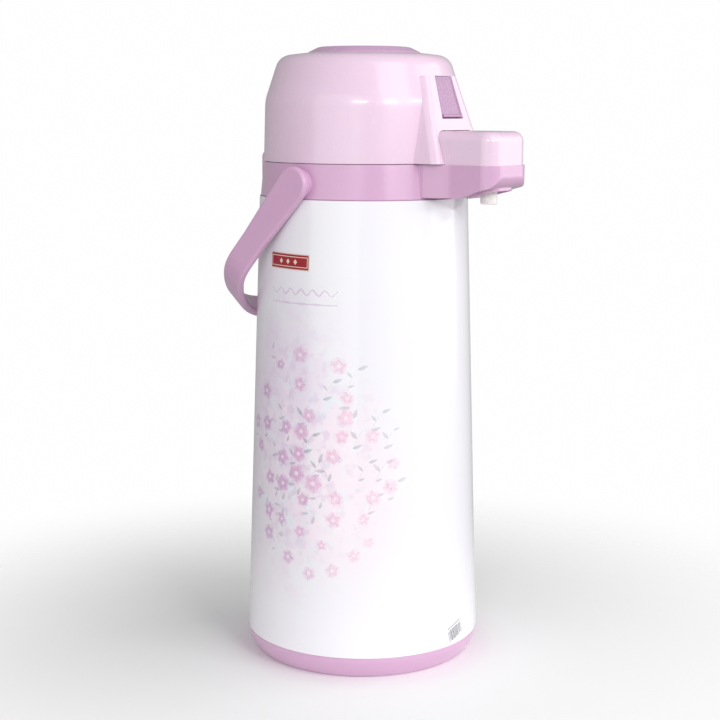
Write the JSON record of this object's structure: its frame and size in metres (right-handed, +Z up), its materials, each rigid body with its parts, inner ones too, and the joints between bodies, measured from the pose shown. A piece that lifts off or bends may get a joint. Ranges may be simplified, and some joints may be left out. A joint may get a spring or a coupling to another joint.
{
  "type": "pump pot",
  "caption": "Pump-action vacuum jug with push-button lid, pouring spout, hinged lid with opening lever and a swinging carrying handle.",
  "frame": {"origin": "centre of the foot's underside, on the pot's axis", "axes": "+Z up the pot's axis; -Y towards the spout; +Y towards the lid hinge; +X along the bail's pivot axis"},
  "size_m": [0.15, 0.1927, 0.386],
  "materials": {
    "mauve_plastic": "gloss moulded",
    "button_plastic": "gloss moulded",
    "pink_plastic": "gloss moulded",
    "printed_tin": "gloss enamel with a flower print",
    "white_plastic": "satin moulded",
    "nozzle_plastic": "translucent satin",
    "bellows_plastic": "satin",
    "silicone": "satin",
    "rubber": "matt",
    "steel": "satin",
    "silvered_glass": "silvered gloss"
  },
  "bodies": {
    "pot": {"base_ring": "mauve_plastic", "base_cap": "mauve_plastic", "support_cushion": "rubber", "body_shell": "printed_tin", "outer_flask": "silvered_glass", "inner_flask": "silvered_glass", "neck_seal": "silicone", "collar": "mauve_plastic", "mouth_ring": "white_plastic", "outlet_pipe": "white_plastic", "dip_tube": "steel", "tube_seal": "silicone", "spout_cover": "pink_plastic", "nozzle": "nozzle_plastic", "spout_screws": "steel", "hinge_pin": "steel", "pivot_pins": "steel"},
    "lid": {"lid_dome": "pink_plastic", "lid_base": "white_plastic", "mouth_gasket": "silicone", "bellows": "bellows_plastic", "bellows_spring": "steel", "air_valve": "silicone", "lid_screws": "steel", "lever_pin": "steel"},
    "push_button": {"button": "button_plastic", "press_plate": "white_plastic"},
    "lever": {"open_lever": "mauve_plastic"},
    "latch": {"latch_plate": "steel", "latch_spring": "steel"},
    "bail": {"bail_handle": "mauve_plastic"}
  },
  "joints": [
    {"name": "lid_hinge", "type": "hinge", "parent": "pot", "child": "lid", "pos_m": [0, 0.0676, 0.31695], "axis": [-1, 0, 0], "range_deg": [0, 95]},
    {"name": "button_press", "type": "slide", "parent": "lid", "child": "push_button", "axis": [0, 0, -1], "range_m": [0, 0.02], "stiffness_N_per_m": 400, "springref_m": -0.004, "deforming": ["bellows", "bellows_spring"]},
    {"name": "lever_pull", "type": "hinge", "parent": "lid", "child": "lever", "pos_m": [0, -0.05777, 0.3651], "axis": [-1, 0, 0], "range_deg": [0, 20]},
    {"name": "latch_slide", "type": "slide", "parent": "lid", "child": "latch", "axis": [0, -1, 0], "range_m": [0, 0.0024], "stiffness_N_per_m": 400, "springref_m": -0.002},
    {"name": "bail_swing", "type": "hinge", "parent": "pot", "child": "bail", "pos_m": [0, 0, 0.30365], "axis": [1, 0, 0], "range_deg": [0, 200]}
  ],
  "couplings": [
    {"joint": "lever_pull", "follows": "latch_slide", "rad_per_m": 145.4}
  ]
}
